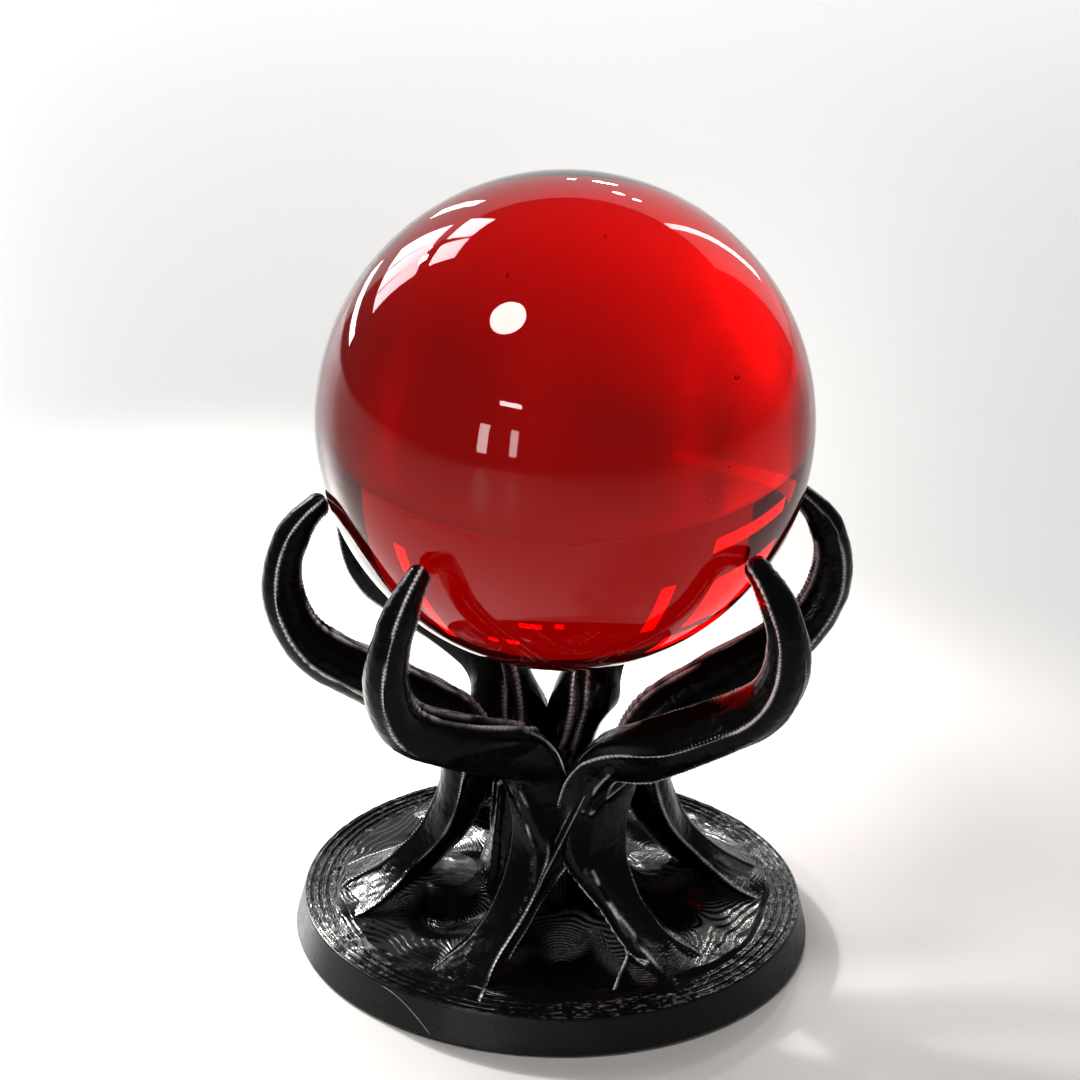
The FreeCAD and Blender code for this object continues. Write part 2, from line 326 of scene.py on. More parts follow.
# ---- mesh helpers -------------------------------------------------------------------------------
def mesh_object(name, points, faces, body, slot, replaced, outward=True, ridge=None):
    """One piece of the model, from points in mm; ridge says how strongly a painted highlight lightens each
    point, from 0 to 1.
    """
    mesh = bpy.data.meshes.new(name)
    mesh.from_pydata((points * MM).tolist(), [], faces)
    mesh.validate()
    mesh.materials.append(MATERIALS[slot])
    if outward:
        work = bmesh.new()
        work.from_mesh(mesh)
        bmesh.ops.recalc_face_normals(work, faces=work.faces)
        work.to_mesh(mesh)
        work.free()
    if ridge is not None:
        layer = mesh.attributes.new("ridge", "FLOAT", "POINT")
        layer.data.foreach_set("value", np.asarray(ridge, np.float32))
    mesh.shade_smooth()
    piece = bpy.data.objects.new(name, mesh)
    bpy.context.scene.collection.objects.link(piece)
    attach(piece, body)
    if replaced:
        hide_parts(*replaced)
    return piece


def grid_faces(rows, columns):
    """Four-sided faces between closed rings of points."""
    r, c = np.meshgrid(np.arange(rows - 1), np.arange(columns), indexing="ij")
    n = (c + 1) % columns
    low, high = r * columns, (r + 1) * columns
    faces = np.stack([low + c, low + n, high + n, high + c], -1).reshape(-1, 4)
    return [tuple(f) for f in faces.tolist()]


def closed_tube(points, ends=None):
    """A tube of rings, closed by fans around the two given points or around the end rings' centres."""
    rows, columns = points.shape[:2]
    first, last = (points[0].mean(0), points[-1].mean(0)) if ends is None else ends
    flat = np.vstack([points.reshape(-1, 3), first, last])
    low, high = len(flat) - 2, len(flat) - 1
    top = (rows - 1) * columns
    faces = grid_faces(rows, columns)
    faces += [(low, (c + 1) % columns, c) for c in range(columns)]
    faces += [(high, top + c, top + (c + 1) % columns) for c in range(columns)]
    return flat, faces


def turns(count):
    """Angles that go once round, without the last one, which is the first again."""
    return np.linspace(0.0, 2.0 * math.pi, count, endpoint=False)


# ---- limbs --------------------------------------------------------------------------------------
def arm_rails(limb, stage):
    """Ridge points of an arm's sections, going round from the right side, and the way it runs."""
    width, thickness, crest = section_size(limb, stage)
    w, t = width / 2.0, thickness / 2.0
    ridge = 0.30 * t
    shoulder = ridge + (t - ridge) * (0.74 - 0.42 * crest)
    inner = np.minimum(1.15, 0.3 * w)
    across = np.stack([w, 0.60 * w, 0.0 * w, -0.60 * w, -w, -0.74 * w, -inner, inner, 0.74 * w], -1)
    outward = np.stack([ridge, shoulder, t, shoulder, ridge, -0.58 * t, -1.03 * t, -1.03 * t, -0.58 * t], -1)
    along, out, side = limb.frame(stage)
    turn = np.radians(limb.turn) * smooth(stage - 1.0)
    n = out * np.cos(turn)[:, None] + side * np.sin(turn)[:, None]
    b = side * np.cos(turn)[:, None] - out * np.sin(turn)[:, None]
    points = limb.point(stage)[:, None] + b[:, None] * across[..., None] + n[:, None] * outward[..., None]
    return points, along


def curve(keys, z):
    """Smooth curve through given (z, value) pairs, straight beyond its ends."""
    at, value = np.array(sorted(keys), float).T
    slope = np.gradient(value, at)
    i = np.clip(np.searchsorted(at, z) - 1, 0, len(at) - 2)
    h = at[i + 1] - at[i]
    u = np.clip((z - at[i]) / h, 0.0, 1.0)
    inside = (
        value[i] * (1 + 2 * u) * (1 - u) ** 2 + slope[i] * h * u * (1 - u) ** 2
        + value[i + 1] * u * u * (3 - 2 * u) - slope[i + 1] * h * u * u * (1 - u)
    )
    return inside + slope[0] * np.minimum(z - at[0], 0.0) + slope[-1] * np.maximum(z - at[-1], 0.0)


LEG_OUT = 4.5  # from a leg's centreline out to its surface
LEG_DEPTH = 9.0
LEG_LOWEST_STAGE = -0.15


def leg_surface(z):
    """Radius of the outer surface of the legs."""
    stage = (z - FOOT_Z) / (WAIST_Z - FOOT_Z)
    out = flare(np.clip(stage, LEG_LOWEST_STAGE, 1.0))
    return WAIST_RADIUS + (FOOT_RADIUS - WAIST_RADIUS) * out + LEG_OUT


# Front legs, as (height, sideways place) of the left edge, the crest and the right edge.  The left leg
# carries on into the left front arm and the right leg into the right front arm; between the crotch
# above and the apex below they grow into each other.
LEFT_LEG = {
    "left": (
        (9.5, -22.5), (12.5, -17.5), (16.5, -13.5), (21, -11), (25, -9.5), (30, -8.5), (36, -8.8),
        (41, -10.5), (46, -15),
    ),
    "crest": (
        (9, -13), (12, -11), (15, -8.5), (18, -6), (21.5, -3.8), (25.5, -2), (30, -1), (36, -3.5), (41, -6),
    ),
    "right": ((9, -10), (12, -8), (16.5, -4.3), (20, -2), (24, 1), (28, 4), (32, 4), (36, 3), (41, 2.5)),
}
RIGHT_LEG = {
    "left": ((10, 14), (12, 15.5), (15, 13), (18.5, 10), (22, 6.5), (25, 3.8), (29, 1), (33, 0), (41, 1)),
    "crest": ((10.5, 22), (13, 18.5), (16, 15), (20, 12), (23, 9.8), (27, 7.5), (32, 7.5), (38, 9.5)),
    "right": ((10, 29.5), (12, 25.5), (16.5, 20), (23.5, 16), (30, 14.8), (36, 15.8), (41, 18.5)),
}


def leg_rails(leg, z):
    """The same ridge points for a front leg, in level sections."""
    surface = leg_surface(z)
    edge_l, crest, edge_r = (curve(leg[k], z) for k in ("left", "crest", "right"))
    sharp = smooth((34.0 - z) / 14.0)
    x = np.stack([
        edge_r, crest + 0.55 * (edge_r - crest), crest, crest + 0.5 * (edge_l - crest), edge_l,
        edge_l + 0.12 * (edge_r - edge_l), edge_l + 0.4 * (edge_r - edge_l),
        edge_l + 0.6 * (edge_r - edge_l), edge_l + 0.88 * (edge_r - edge_l),
    ], -1)
    drop = np.stack([
        2.8 + 0.0 * z, 1.5 + 0.4 * sharp, -0.2 * sharp, 0.2 + 0.5 * sharp, 2.4 + 0.0 * z,
        0.75 * LEG_DEPTH + 0.0 * z, LEG_DEPTH + 0.0 * z, LEG_DEPTH + 0.0 * z, 0.75 * LEG_DEPTH + 0.0 * z,
    ], -1)
    r = surface[:, None] - drop
    y = -np.sqrt(np.maximum(r * r - x * x, 1.0))
    return np.stack([x, y, np.repeat(z[:, None], x.shape[1], axis=1)], -1)


# Faces between crisp ridges: first ridge, point passed on the way, second ridge, points along the face.
FACES = ((0, 1, 2, 42), (2, 3, 4, 42), (4, 5, 6, 30), (6, None, 7, 10), (7, 8, 0, 30))
INNER = (6, 7)  # the pair of ridges on the side towards the ball, with a groove between them
BEAD_HEIGHT, BEAD_REACH, GROOVE_DEPTH, DASH = 0.36, 0.5, 1.2, 0.75
# Reach and strength of the painted highlight beside each ridge; wider on the inner pair.
HIGHLIGHT_REACH, HIGHLIGHT_STRENGTH, INNER_HIGHLIGHT_WIDER = 0.26, 2.3, 2.0


def ring(corners, bead, scale):
    """Closed outlines through the ridge points of each row, and the painted highlight at each point,
    strongest beside a ridge.

    Each ridge carries a fine raised bead, broken into dashes by the layers.
    """
    centre = corners.mean(axis=1, keepdims=True)
    corners = centre + (corners - centre) * scale
    centre = centre[:, 0]
    outline, painted_highlight = [], []
    for first, through, second, count in FACES:
        start, end = corners[:, first], corners[:, second]
        if through is None:
            middle = (start + end) / 2.0
            middle = middle + unit(centre - middle) * GROOVE_DEPTH
        else:
            middle = 2.0 * corners[:, through] - (start + end) / 2.0
        dash = 0.75 + 0.4 * np.cos(2.0 * math.pi * (start[:, 2] + 0.5 * start[:, 0]) / DASH)
        patchy = smooth((noise(centre, 7.0, 41 + first) + 0.6) / 0.5)
        for v in (1.0 - np.cos(np.linspace(0.0, math.pi, count + 1)[:-1])) / 2.0:
            point = (1 - v) ** 2 * start + 2 * v * (1 - v) * middle + v * v * end
            rise, highlight_amount = np.zeros(len(point)), np.zeros(len(point))
            for corner, at in ((start, first), (end, second)):
                gap = np.linalg.norm(point - corner, axis=1)
                rise = np.maximum(rise, bead[:, at] * dash * np.exp(-((gap / BEAD_REACH) ** 2)))
                # A painted highlight: a pale band beside each ridge, broken into dashes with the beads.
                reach = HIGHLIGHT_REACH * (INNER_HIGHLIGHT_WIDER if at in INNER else 1.0)
                bright = HIGHLIGHT_STRENGTH * bead[:, at] * (dash - 0.1)
                highlight_amount = np.maximum(highlight_amount, bright * np.exp(-((gap / reach) ** 2)))
            outline.append(point + unit(point - centre) * (rise * BEAD_HEIGHT * scale[:, 0, 0])[:, None])
            painted_highlight.append(highlight_amount * patchy)
    outline, painted_highlight = np.stack(outline, axis=1), np.stack(painted_highlight, axis=1)
    soft = (np.roll(outline, 1, 1) + np.roll(outline, -1, 1)) / 2.0
    return outline * 0.7 + soft * 0.3, painted_highlight


def beads(stage, leg=None):
    """How strongly each ridge is beaded along the limb."""
    strength = np.ones((len(stage), 9))
    rising = smooth((stage - 0.75) / 0.3)
    strength[:, 2] = 1.0 - smooth((stage - 0.5) / 0.3)
    if leg is LEFT_LEG:
        strength[:, 4] = 0.1 + 0.9 * smooth((stage - 2.2) / 0.3)
        strength[:, 0] = 1.0 - rising + smooth((stage - 2.0) / 0.3)
        strength[:, 0] *= 1.0 - 0.7 * smooth((0.5 - stage) / 0.2)
    if leg is RIGHT_LEG:
        strength[:, 0] = 0.3 - 0.2 * rising + 0.9 * smooth((stage - 2.2) / 0.3)
        strength[:, 2] = smooth((stage - 1.0) / 0.25) * (1.0 - smooth((stage - 2.3) / 0.3))
    return strength


TOE_STAGE = 0.06  # how far the toe reaches out before the foot's stage 0
LIMB_ROWS = 635
FRONT_ARM_STAGES = (0.88, 1.5)  # where a front leg's level sections give way to those of its arm


def limb_rows(limb, leg=None):
    """Outlines from the toe to just short of the tip's cap."""
    stage = np.linspace(-TOE_STAGE, 3.0, LIMB_ROWS)
    corners, along = arm_rails(limb, np.maximum(stage, 0.0))
    if leg is None:
        out = np.minimum(stage, 0.0)[:, None, None] / TOE_STAGE
        return corners + out * along[:, None] * TOE_LENGTH, beads(stage), 1.0 - 0.6 * out**2
    z = np.where(stage <= 1.0, FOOT_Z + (WAIST_Z - FOOT_Z) * stage, limb.profile(stage)[1])
    start, end = FRONT_ARM_STAGES
    w = smooth((stage - start) / (end - start))[:, None, None]
    corners = leg_rails(leg, z) * (1.0 - w) + corners * w
    return corners, beads(stage, leg), np.ones((len(stage), 1, 1))


def tip_rows(limb, leg=None):
    """Outlines of the rounded cap at the tip."""
    cap = np.radians(np.linspace(10.0, 86.0, 10))
    stage = np.full(len(cap), 3.0)
    corners, along = arm_rails(limb, stage)
    corners = corners + along[:, None] * (np.sin(cap) * TIP_THICKNESS / 2.0)[:, None, None]
    return corners, beads(stage, leg), np.cos(cap)[:, None, None]


# Raised folds on the front: (height, sideways place) along each, then its height and half width.
FOLDS = (
    (((31.5, -1.5), (36, -4), (42, -6.8)), 0.9, 1.1),
    (((31, -4), (36, -5.6), (41, -8)), 0.6, 0.9),
    (((38, 5.8), (43.5, 8.4), (48, 11)), 0.7, 0.8),
    (((37.5, 7.4), (40, 9.5), (45, 16.5)), 0.7, 0.8),
    (((26, 8), (22, 10.2), (18, 13.4), (13, 18.6), (10, 22.5)), 0.7, 0.9),
)


def folded(points, outward):
    """Raises the folds on surfaces that face the front, and says where a painted highlight lies along them.
    """
    facing = smooth((-outward[..., 1] - 0.05) / 0.4) * (points[..., 1] < 0.0)
    rise, painted_highlight = np.zeros(points.shape[:-1]), np.zeros(points.shape[:-1])
    patchy = smooth((noise(points, 3.0, 51) + 0.25) / 0.4)
    for line, height, half in FOLDS:
        line = np.array(line, float)
        best = np.full(points.shape[:-1], 1e9)
        end = np.zeros(points.shape[:-1])
        for (z0, x0), (z1, x1) in zip(line, line[1:]):
            d = np.array([x1 - x0, z1 - z0])
            t = np.clip(((points[..., 0] - x0) * d[0] + (points[..., 2] - z0) * d[1]) / (d @ d), 0.0, 1.0)
            gap = np.hypot(points[..., 0] - x0 - t * d[0], points[..., 2] - z0 - t * d[1])
            best = np.minimum(best, gap)
        rise = np.maximum(rise, height * np.maximum(1.0 - np.hypot(best, 0.15) / (2.2 * half), 0.0) ** 1.6)
        painted_highlight = np.maximum(painted_highlight, np.exp(-((best / (0.8 * HIGHLIGHT_REACH)) ** 2)) * patchy)
    return points + outward * (rise * facing)[..., None], painted_highlight * facing


CROTCH_X = 2.0  # sideways place of the fork between the two front arms
BACK_FORK_DROP = 3.2  # how much lower the fork between the two back arms is


def drawn_in(points):
    """Lets the roots of the front arms flow into the legs instead of overhanging them."""
    radius = np.hypot(points[..., 0], points[..., 1])
    aside = np.maximum(np.abs(points[..., 0] - CROTCH_X) - 4.0, 0.0)
    limit = leg_surface(np.minimum(points[..., 2], 44.0)) - 0.4 + 0.3 * aside + 0.045 * aside**2
    over = np.maximum(radius - limit, 0.0) * (points[..., 1] < 0.0) * smooth((60.0 - points[..., 2]) / 8.0)
    pulled = over - 1.2 * np.log1p(over / 1.2) * 0.6
    points = points.copy()
    points[..., :2] *= ((radius - pulled) / np.maximum(radius, 1.0))[..., None]
    return points


def lowered_fork(points):
    """Lowers the fork between two arms that will be turned to the back."""
    near = np.exp(-(((points[..., 0] - CROTCH_X) / 9.0) ** 2)) * smooth((points[..., 2] - 33.0) / 10.0)
    points = points.copy()
    points[..., 2] -= BACK_FORK_DROP * near * smooth((62.0 - points[..., 2]) / 16.0)
    return points


def half_turned(points):
    """Turned by half a turn about the upright axis."""
    return points * np.array([-1.0, -1.0, 1.0])


def normals_of(points):
    """Outward directions of a tube of rings."""
    across = np.roll(points, -1, 1) - np.roll(points, 1, 1)
    along = np.gradient(points, axis=0)
    return unit(np.cross(along, across) + 1e-12)


def worked(points, seed):
    """Slight unevenness of the print, and terraces where the surface lies nearly level."""
    outward = normals_of(points)
    uneven = 0.09 * noise(points, 3.0, seed) + 0.05 * noise(points, 0.9, seed + 1)
    points = points + outward * uneven[..., None]
    level = smooth((np.abs(outward[..., 2]) - 0.72) / 0.2) * 0.8
    points[..., 2] += level * (terraced(points[..., 2], LAYER, 0.4) - points[..., 2])
    return points


def make_limb(name, limb, leg, back):
    """A whole limb; leg is the front leg's shape, or None for a limb with a plain foot."""
    parts = [limb_rows(limb, leg), tip_rows(limb, leg)]
    rings = [ring(*rows) for rows in parts]
    points, painted_highlight = (np.concatenate(arrays) for arrays in zip(*rings))
    if leg is not None:
        points = drawn_in(points)
        points, fold_highlight = folded(points, normals_of(points))
        painted_highlight = np.maximum(painted_highlight, fold_highlight)
        if back:
            points = lowered_fork(points)
    points = worked(points, 20)
    if back:
        points = half_turned(points)
    flat, faces = closed_tube(points)
    ridge = np.append(painted_highlight.ravel(), (0.0, 0.0))
    return mesh_object(name + "_shape", flat, faces, "stand", "printed_gloss", [name], ridge=ridge)


# The sharp strand that runs from the left foot's crest over the crossing into the right front arm, as
# (height, sideways place).
STRAND = (
    (9, -13.2), (12, -11), (15, -8.4), (18, -6.1), (21.5, -3.6), (25.5, -1.7), (30, 0.7), (34.5, 2.9),
    (38, 4.6), (41, 6.0), (45, 8.6),
)
STRAND_FROM, STRAND_TO, STRAND_DEPTH = 9.6, 45.0, 1.5


def make_strand(name, back):
    """The sharp strand over a crossing, with a painted highlight along its crest and left edge."""
    z = np.linspace(STRAND_FROM, STRAND_TO, 240)
    x = curve(STRAND, z)
    rise = 0.7 * smooth((z - 10.0) / 5.0) * (1.0 - 0.3 * smooth((z - 38.0) / 7.0))
    half = 0.55 + 0.75 * smooth((z - 16.0) / 12.0) * (1.0 - 0.5 * smooth((z - 37.0) / 8.0))
    r = leg_surface(z) + rise - 0.6 * smooth((z - 38.0) / 7.0)
    angle = turns(32)
    across = np.sign(np.cos(angle)) * np.abs(np.cos(angle)) ** 1.7
    outward = np.where(np.sin(angle) > 0.0, 1.0 - np.abs(np.cos(angle)) ** 1.2, np.sin(angle) * 1.2)
    dash = 1.0 + 0.05 * np.cos(2.0 * math.pi * z / DASH)[:, None]
    px = x[:, None] + across * half[:, None] * dash
    pr = r[:, None] - STRAND_DEPTH + outward * STRAND_DEPTH * dash
    points = np.stack([px, -np.sqrt(np.maximum(pr * pr - px * px, 1.0)), z[:, None] + 0.0 * px], -1)
    points = points + normals_of(points) * (0.05 * noise(points, 1.3, 31))[..., None]
    if back:
        points = half_turned(points)
    flat, faces = closed_tube(points)
    # Painted highlight along the crest and the left edge, broken into patches.
    crest = np.exp(-((angle - math.pi / 2.0) / 0.22) ** 2)
    left_edge = 0.8 * np.exp(-((angle - math.pi * 0.92) / 0.15) ** 2)
    patchy = smooth((noise(points[:, len(angle) // 4], 5.0, 33) + 0.55) / 0.4)
    ridge = np.append(((crest + left_edge) * patchy[:, None]).ravel(), (0.0, 0.0))
    return mesh_object(name, flat, faces, "stand", "printed_gloss", [], ridge=ridge)


lines = []
for back in (False, True):
    for limb, leg in zip(LIMBS, (RIGHT_LEG, LEFT_LEG, None)):
        make_limb(limb[int(back)], Limb(*limb[2:], 0.0), leg, back)
        lines.append(Limb(*limb[2:], 180.0 if back else 0.0))
    make_strand("crossing_ridge_back" if back else "crossing_ridge_front", back)


# ---- ground between the roots -------------------------------------------------------------------
RIM_GROOVES = (51.3, 49.6, 48.0)
RIM_RING_PITCH = 0.85
GROUND_RADIUS = BASE_TOP_RADIUS - 0.25
GROUND_LIFT = 0.05
LIP_OUT, LIP_TOP, LIP_LOW = 0.12, 0.15, 0.6  # the ground's outer edge, turned down into the base
SKIRT_HEIGHT, SKIRT_REACH = 2.2, 3.2
GROUND_LAYER = 0.24
# azimuth, radius, reach and depth of the hollows between the roots, each of which is there twice
PITS = ((-52.0, 27.0, 9.0, 3.0), (4.0, 31.0, 7.5, 2.6), (62.0, 28.0, 9.0, 3.0))


def skirt(xy):
    """How much the ground rises towards the legs that grow out of it."""
    rise = np.zeros(len(xy))
    for line in lines:
        stage = np.linspace(-0.02, 0.55, 60)
        r, z = line.profile(np.maximum(stage, 0.0))
        centre = polar(r, line.azimuth(np.maximum(stage, 0.0)), z)
        half = section_size(line, stage)[0] / 2.0
        fade = smooth((stage + 0.02) / 0.14)
        for c, h, k in zip(centre, half, fade):
            d = np.maximum(np.hypot(xy[:, 0] - c[0], xy[:, 1] - c[1]) - h * 0.92, 0.0)
            rise = np.maximum(rise, k * SKIRT_HEIGHT * np.exp(-d / SKIRT_REACH))
    return rise


def ground_height(xy):
    """Height of the ground at places in mm, and how strongly painted highlights lighten it there."""
    radius = np.hypot(xy[:, 0], xy[:, 1])
    flat = np.column_stack([xy, np.zeros(len(xy))])
    wave = 0.34 * noise(flat, 16.0, 3) + 0.28 * noise(flat, 6.5, 4) + 0.08 * noise(flat, 3.0, 5)
    edge = smooth((RELIEF_RADIUS - radius + 0.8 * noise(flat, 9.0, 6)) / 1.6)
    inner = smooth((RELIEF_RADIUS - radius) / 20.0)
    flank = skirt(xy)
    rise = 0.55 * edge + 2.9 * inner + edge * (wave + flank)
    for azimuth, place, reach, depth in PITS:
        for half_turn in (0.0, 180.0):
            a = math.radians(azimuth + half_turn)
            gap = np.hypot(xy[:, 0] - place * math.sin(a), xy[:, 1] + place * math.cos(a))
            rise = rise - depth * np.exp(-((gap / reach) ** 2) * 1.6)
    rise = np.maximum(rise, 0.1 + 0.1 * noise(flat, 2.0, 7))
    z = 0.7 * terraced(rise, GROUND_LAYER, 0.5) + 0.3 * rise
    inside = smooth((RELIEF_RADIUS + 0.6 - radius) / 0.8)
    z = z * inside + rise * (1.0 - inside)
    for groove in RIM_GROOVES:
        z = z - 0.45 * np.exp(-((radius - groove - 0.10 * noise(flat, 5.0, 8)) / 0.30) ** 2)
    rings = smooth((radius - RIM_GROOVES[-1] + 2.0) / 1.0)
    z = z + 0.09 * rings * np.cos(2.0 * math.pi * (radius + 0.08 * noise(flat, 8.0, 16)) / RIM_RING_PITCH)
    rough = 0.5 * noise(flat, 1.1, 9) + 0.5 * noise(flat, 0.55, 10)
    rim = smooth((radius - RELIEF_RADIUS + 0.5) / 1.5)
    grit = smooth((noise(flat, 9.0, 14) + 0.1) / 0.5)
    z = z + rough * (0.012 + 0.035 * grit + 0.04 * rim)
    # Painted highlights: pale lines along the terrace edges near the legs, and pale flecks round the rim.
    step = np.exp(-(((rise / GROUND_LAYER % 1.0 - 0.5) / 0.2) ** 2))
    lined = 0.22 * step * inside * smooth((flank - 0.7) / 0.7)
    lined = lined * smooth((noise(flat, 10.0, 17) + 0.45) / 0.5)
    round_rim = np.column_stack([2.5 * radius, xy * (BASE_RADIUS / np.maximum(radius, 1.0))[:, None]])
    fleck = smooth((noise(round_rim, 0.9, 10) - 0.2) / 0.25)
    ground_highlight = lined + 0.2 * rim * fleck * smooth((0.5 * noise(flat, 30.0, 15) + 0.2) / 0.3)
    return BASE_HEIGHT + GROUND_LIFT + z, ground_highlight


def make_ground(rings=261, spokes=900):
    """The raised ground between the roots and the rim around it."""
    radius = GROUND_RADIUS * np.linspace(0.0, 1.0, rings + 1)[1:, None] ** 0.8
    angle = turns(spokes)
    xy = np.stack([radius * np.cos(angle), radius * np.sin(angle)], -1).reshape(-1, 2)
    z, ground_highlight = ground_height(xy)
    top = np.column_stack([xy, z]).reshape(rings, spokes, 3)
    lip = np.repeat(top[-1:], 2, axis=0)
    lip[..., :2] *= (GROUND_RADIUS + LIP_OUT) / GROUND_RADIUS
    lip[0, :, 2] = BASE_HEIGHT - LIP_TOP
    lip[1, :, 2] = BASE_HEIGHT - LIP_LOW
    ends = (0.0, 0.0, z[0]), (0.0, 0.0, BASE_HEIGHT - LIP_LOW)
    flat, faces = closed_tube(np.concatenate([top, lip]), ends)
    ridge = np.append(ground_highlight, np.zeros(len(flat) - len(ground_highlight)))
    return mesh_object("ground_shape", flat, faces, "stand", "printed_gloss", ["root_relief"], ridge=ridge)


make_ground()


# ---- base wall ----------------------------------------------------------------------------------
WALL_LAYER = 0.44
WALL_LIP = 0.35  # radius of the rounded upper edge
FLOOR_UNDER_GROUND = 0.4


def wall_radius(z):
    """Radius of the flared wall above its chamfer."""
    return BASE_RADIUS - BASE_FLARE / (BASE_HEIGHT - BASE_CHAMFER) * (z - BASE_CHAMFER)


def make_base(spokes=360):
    """The flared wall with its chamfer, a rounded upper lip, and layer lines cut all round."""
    chamfer = np.linspace(0.0, BASE_CHAMFER, 5)
    z = np.concatenate([chamfer, np.linspace(BASE_CHAMFER + 0.05, BASE_HEIGHT - WALL_LIP, 110)])
    r = np.where(z < BASE_CHAMFER, BASE_RADIUS - BASE_CHAMFER + z, wall_radius(z))
    lip = np.radians(np.linspace(0.0, 90.0, 7))
    r_lip = r[-1] - WALL_LIP + WALL_LIP * np.cos(lip)
    z_lip = z[-1] + WALL_LIP * np.sin(lip)
    under = BASE_HEIGHT - FLOOR_UNDER_GROUND
    r = np.concatenate([r, r_lip, [GROUND_RADIUS - 0.4, GROUND_RADIUS - 0.4]])
    z = np.concatenate([z, z_lip, [BASE_HEIGHT, under]])
    angle = turns(spokes)
    radius = np.repeat(r[:, None], spokes, axis=1)
    height = np.repeat(z[:, None], spokes, axis=1)
    points = np.stack([radius * np.cos(angle), radius * np.sin(angle), height], -1)
    wall = (height > BASE_CHAMFER) & (height < BASE_HEIGHT - 0.3)
    layer = np.abs(height / WALL_LAYER % 1.0 - 0.5) * 2.0
    uneven = -0.022 * layer**4 + 0.012 * noise(points * (0.15, 0.15, 2.0), 1.2, 11)
    points[..., :2] *= (1.0 + uneven * wall / BASE_RADIUS)[..., None]
    flat, faces = closed_tube(points, ((0.0, 0.0, 0.0), (0.0, 0.0, under)))
    return mesh_object("base_shape", flat, faces, "stand", "printed_satin", ["base_disc"])


make_base()

HAIR_RADIUS = 0.08
HAIR_FROM, HAIR_TO = (-39.0, BASE_HEIGHT - 0.7), (-25.5, 1.3)  # azimuth and height of its ends


def make_hair():
    """A hair of plastic left on the wall at the front left."""
    u = np.linspace(0.0, 1.0, 120)
    azimuth = HAIR_FROM[0] + (HAIR_TO[0] - HAIR_FROM[0]) * u
    z = HAIR_FROM[1] + (HAIR_TO[1] - HAIR_FROM[1]) * u**1.8
    centre = polar(wall_radius(z), azimuth, z)[:, None]
    outward = polar(np.ones_like(u), azimuth, 0.0)[:, None]
    side = unit(np.cross(np.gradient(centre, axis=0), outward))
    turn = turns(10)[None, :, None]
    points = centre + HAIR_RADIUS * (outward * np.cos(turn) + side * np.sin(turn))
    flat, faces = closed_tube(points)
    # The whole hair is lightened with the pale ridge colour.
    return mesh_object("base_hair", flat, faces, "stand", "printed_gloss", [], ridge=np.full(len(flat), 0.6))


make_hair()


# ---- hub ----------------------------------------------------------------------------------------
CORE_DROP = 5.0  # the hub ends below the fork, out of sight
CORE_RADIUS, CORE_FLARE = 12.8, 4.5
CORE_DOME = 3.0


def make_core(rows=160, spokes=240):
    """The hub between the limbs, with bark-like flutes that run down into the ground."""
    z = np.linspace(BASE_HEIGHT + 0.2, CORE_TOP_Z - CORE_DROP, rows)
    u = (z - z[0]) / (z[-1] - z[0])
    a, h = np.meshgrid(turns(spokes), z, indexing="xy")
    radius = np.repeat((CORE_RADIUS + CORE_FLARE * (1.0 - u) ** 2.6)[:, None], spokes, axis=1)
    points = np.stack([radius * np.cos(a), radius * np.sin(a), h], -1)
    flute = 1.0 - np.abs(noise(points * (1.0, 1.0, 0.25), 3.6, 12))
    radius = radius + 1.1 * (flute**3 - 0.6) + 0.10 * noise(points, 1.0, 13)
    points = np.stack([radius * np.cos(a), radius * np.sin(a), h], -1)
    dome = smooth((h - z[-1] + CORE_DOME) / CORE_DOME)
    points[..., :2] *= (1.0 - 0.25 * dome**2)[..., None]
    flat, faces = closed_tube(points, ((0.0, 0.0, z[0]), (0.0, 0.0, z[-1] + 0.4)))
    return mesh_object("core_shape", flat, faces, "stand", "printed_gloss", ["trunk_core"])


make_core()


# ---- ball ---------------------------------------------------------------------------------------
BUBBLES = 9


def sphere(radius, centre, rows, columns):
    """Points and faces of a sphere."""
    polar_angle = np.linspace(0.0, math.pi, rows + 1)[1:-1]
    p, t = np.meshgrid(polar_angle, turns(columns), indexing="ij")
    points = np.stack([np.sin(p) * np.cos(t), np.sin(p) * np.sin(t), -np.cos(p)], -1) * radius + centre
    up = np.array([0.0, 0.0, radius])
    return closed_tube(points, (centre - up, centre + up))


def make_ball():
    """Solid glass with a few tiny bubbles left in it."""
    centre = np.array([0.0, 0.0, BALL_CENTRE_Z])
    flat, faces = sphere(BALL_RADIUS, centre, 160, 320)
    for _ in range(BUBBLES):
        way = unit(rng.normal(size=3))
        radius = rng.uniform(0.12, 0.32)
        bubble, sides = sphere(radius, centre + way * BALL_RADIUS * rng.uniform(0.35, 0.9), 8, 14)
        faces = faces + [tuple(i + len(flat) for i in reversed(f)) for f in sides]
        flat = np.vstack([flat, bubble])
    return mesh_object("ball_glass", flat, faces, "ball", "red_glass", ["crystal_ball"], outward=False)


make_ball()


# ---- floor, light and camera, in metres ---------------------------------------------------------
FLOOR_HALF = 4.0


def link(thing):
    bpy.context.scene.collection.objects.link(thing)
    return thing


def make_floor():
    mesh = bpy.data.meshes.new("floor")
    corners = [(x * FLOOR_HALF, y * FLOOR_HALF, 0.0) for x, y in ((-1, -1), (1, -1), (1, 1), (-1, 1))]
    mesh.from_pydata(corners, [], [(0, 1, 2, 3)])
    mesh.materials.append(pale_floor())
    return link(bpy.data.objects.new("floor", mesh))


floor = make_floor()

BALL_CENTRE = Vector((0.0, 0.0, BALL_CENTRE_Z * MM))
DAYLIGHT, WARM, WHITE = (0.94, 0.97, 1.0), (1.0, 0.97, 0.93), (1.0, 1.0, 1.0)


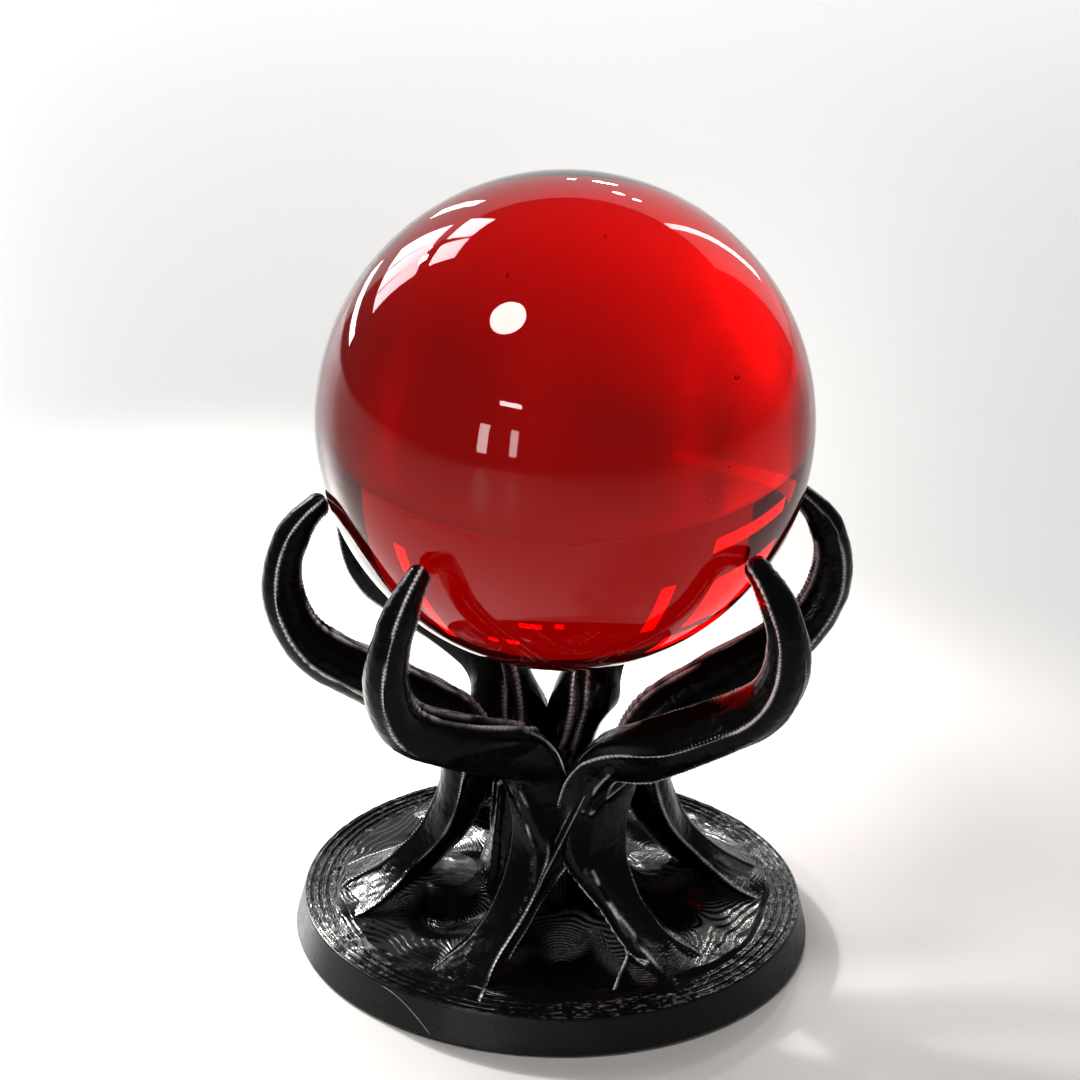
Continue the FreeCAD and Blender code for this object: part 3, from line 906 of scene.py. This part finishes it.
def add_light(name, data, aim, azimuth, elevation, distance):
    """Places a light by its direction from what it faces; azimuth 0 is the front, and 90 the right."""
    light = link(bpy.data.objects.new(name, data))
    a, e = math.radians(azimuth), math.radians(elevation)
    towards = Vector((math.sin(a) * math.cos(e), -math.cos(a) * math.cos(e), math.sin(e)))
    light.location = aim + towards * distance
    light.rotation_euler = (-towards).to_track_quat("-Z", "Y").to_euler()
    return light


def area_light(name, azimuth, elevation, distance, size, power, color=WHITE, shape="RECTANGLE"):
    """A soft light that faces the ball, and that the camera doesn't see."""
    data = bpy.data.lights.new(name, "AREA")
    data.shape = shape
    data.size, data.size_y = size
    data.energy = power
    data.color = color
    add_light(name, data, BALL_CENTRE, azimuth, elevation, distance).visible_camera = False


def sun_patch(name, place, azimuth, elevation, half_width, power):
    """A soft patch of sunlight on the floor behind the object, which the glass turns upside down."""
    distance = 1.5
    data = bpy.data.lights.new(name, "SPOT")
    data.energy = power
    data.color = WARM
    data.shadow_soft_size = 0.05
    data.spot_size = 2.0 * math.atan(half_width / distance)
    data.spot_blend = 1.0
    add_light(name, data, Vector((*place, 0.0)), azimuth, elevation, distance)


# The window behind at the left, with its panes.
for column, azimuth in enumerate((-145.5, -137.5, -129.5)):
    area_light(f"window_low_{column}", azimuth, 22.0, 2.6, (0.32, 0.78), 6.5, DAYLIGHT)
for column, azimuth in enumerate((-146.0, -132.0)):
    area_light(f"window_high_{column}", azimuth, 40.0, 2.6, (0.42, 0.46), 7.0, DAYLIGHT)
area_light("window_edge", -161.0, 18.0, 2.6, (0.12, 0.70), 3.5, DAYLIGHT)
area_light("window_sill", -141.0, 3.5, 2.6, (1.10, 0.14), 5.0, DAYLIGHT)
area_light("key", -133.0, 30.8, 2.4, (0.1, 0.1), 7.0, WARM)

# The pale wall behind, a strip at the right, and small spots above them, as azimuth, elevation, width.
area_light("wall", 178.0, 19.0, 2.4, (4.0, 1.91), 19.0)
area_light("strip", 150.0, 22.0, 1.6, (0.08, 0.9), 1.6)
SPOTS = ((174.6, 19.7, 0.12), (180.0, 19.0, 0.04), (169.8, 29.2, 0.07), (165.1, 29.9, 0.05))
for spot, (azimuth, elevation, width) in enumerate(SPOTS):
    area_light(f"spot_{spot}", azimuth, elevation, 1.8, (width, 0.04), 12.0 * width, WARM)

# A lamp and a far window in front.
area_light("lamp", -49.5, 58.0, 1.0, (0.26, 0.26), 4.0, WARM, "DISK")
area_light("front_bar", -26.0, 24.0, 1.5, (0.26, 0.05), 0.8)
area_light("front_pane_a", -36.0, 8.0, 1.5, (0.12, 0.32), 1.2)
area_light("front_pane_b", -22.0, 8.0, 1.5, (0.09, 0.30), 0.7)

sun_patch("sun_side", (-0.130, 0.080), -140.0, 36.0, 0.17, 140.0)
sun_patch("sun_band", (-0.030, 0.126), -104.0, 33.0, 0.080, 230.0)
sun_patch("sun_fleck", (-0.062, 0.232), -125.0, 40.0, 0.052, 190.0)


def make_world():
    """Even, dim light from all round."""
    world = bpy.data.worlds.new("studio")
    world.use_nodes = True
    background = world.node_tree.nodes["Background"]
    background.inputs["Color"].default_value = (0.5, 0.48, 0.47, 1.0)
    background.inputs["Strength"].default_value = 0.34
    return world


bpy.context.scene.world = make_world()

CAMERA_DISTANCE, CAMERA_HEIGHT = 0.5164, 0.2993
CAMERA_PITCH, CAMERA_YAW, CAMERA_ROLL = (math.radians(a) for a in (22.24, -0.49, 1.40))
CAMERA_LENS, CAMERA_SENSOR = 91.3, 36.0


def make_camera():
    """Looks at the object from in front and above, pitched down and rolled a little."""
    data = bpy.data.cameras.new("camera")
    data.sensor_width = CAMERA_SENSOR
    data.lens = CAMERA_LENS
    data.clip_start = 0.01
    camera = link(bpy.data.objects.new("camera", data))
    forward = Vector((
        math.sin(CAMERA_YAW) * math.cos(CAMERA_PITCH),
        math.cos(CAMERA_YAW) * math.cos(CAMERA_PITCH),
        -math.sin(CAMERA_PITCH),
    ))
    level = forward.cross(Vector((0.0, 0.0, 1.0))).normalized()
    upward = level.cross(forward)
    right = math.cos(CAMERA_ROLL) * level + math.sin(CAMERA_ROLL) * upward
    up = -math.sin(CAMERA_ROLL) * level + math.cos(CAMERA_ROLL) * upward
    turned = Matrix((right, up, -forward)).transposed().to_4x4()
    camera.matrix_world = Matrix.Translation((0.0, -CAMERA_DISTANCE, CAMERA_HEIGHT)) @ turned
    return camera


bpy.context.scene.camera = make_camera()
bpy.context.scene.view_settings.view_transform = "Standard"
bpy.context.scene.view_settings.gamma = 0.85
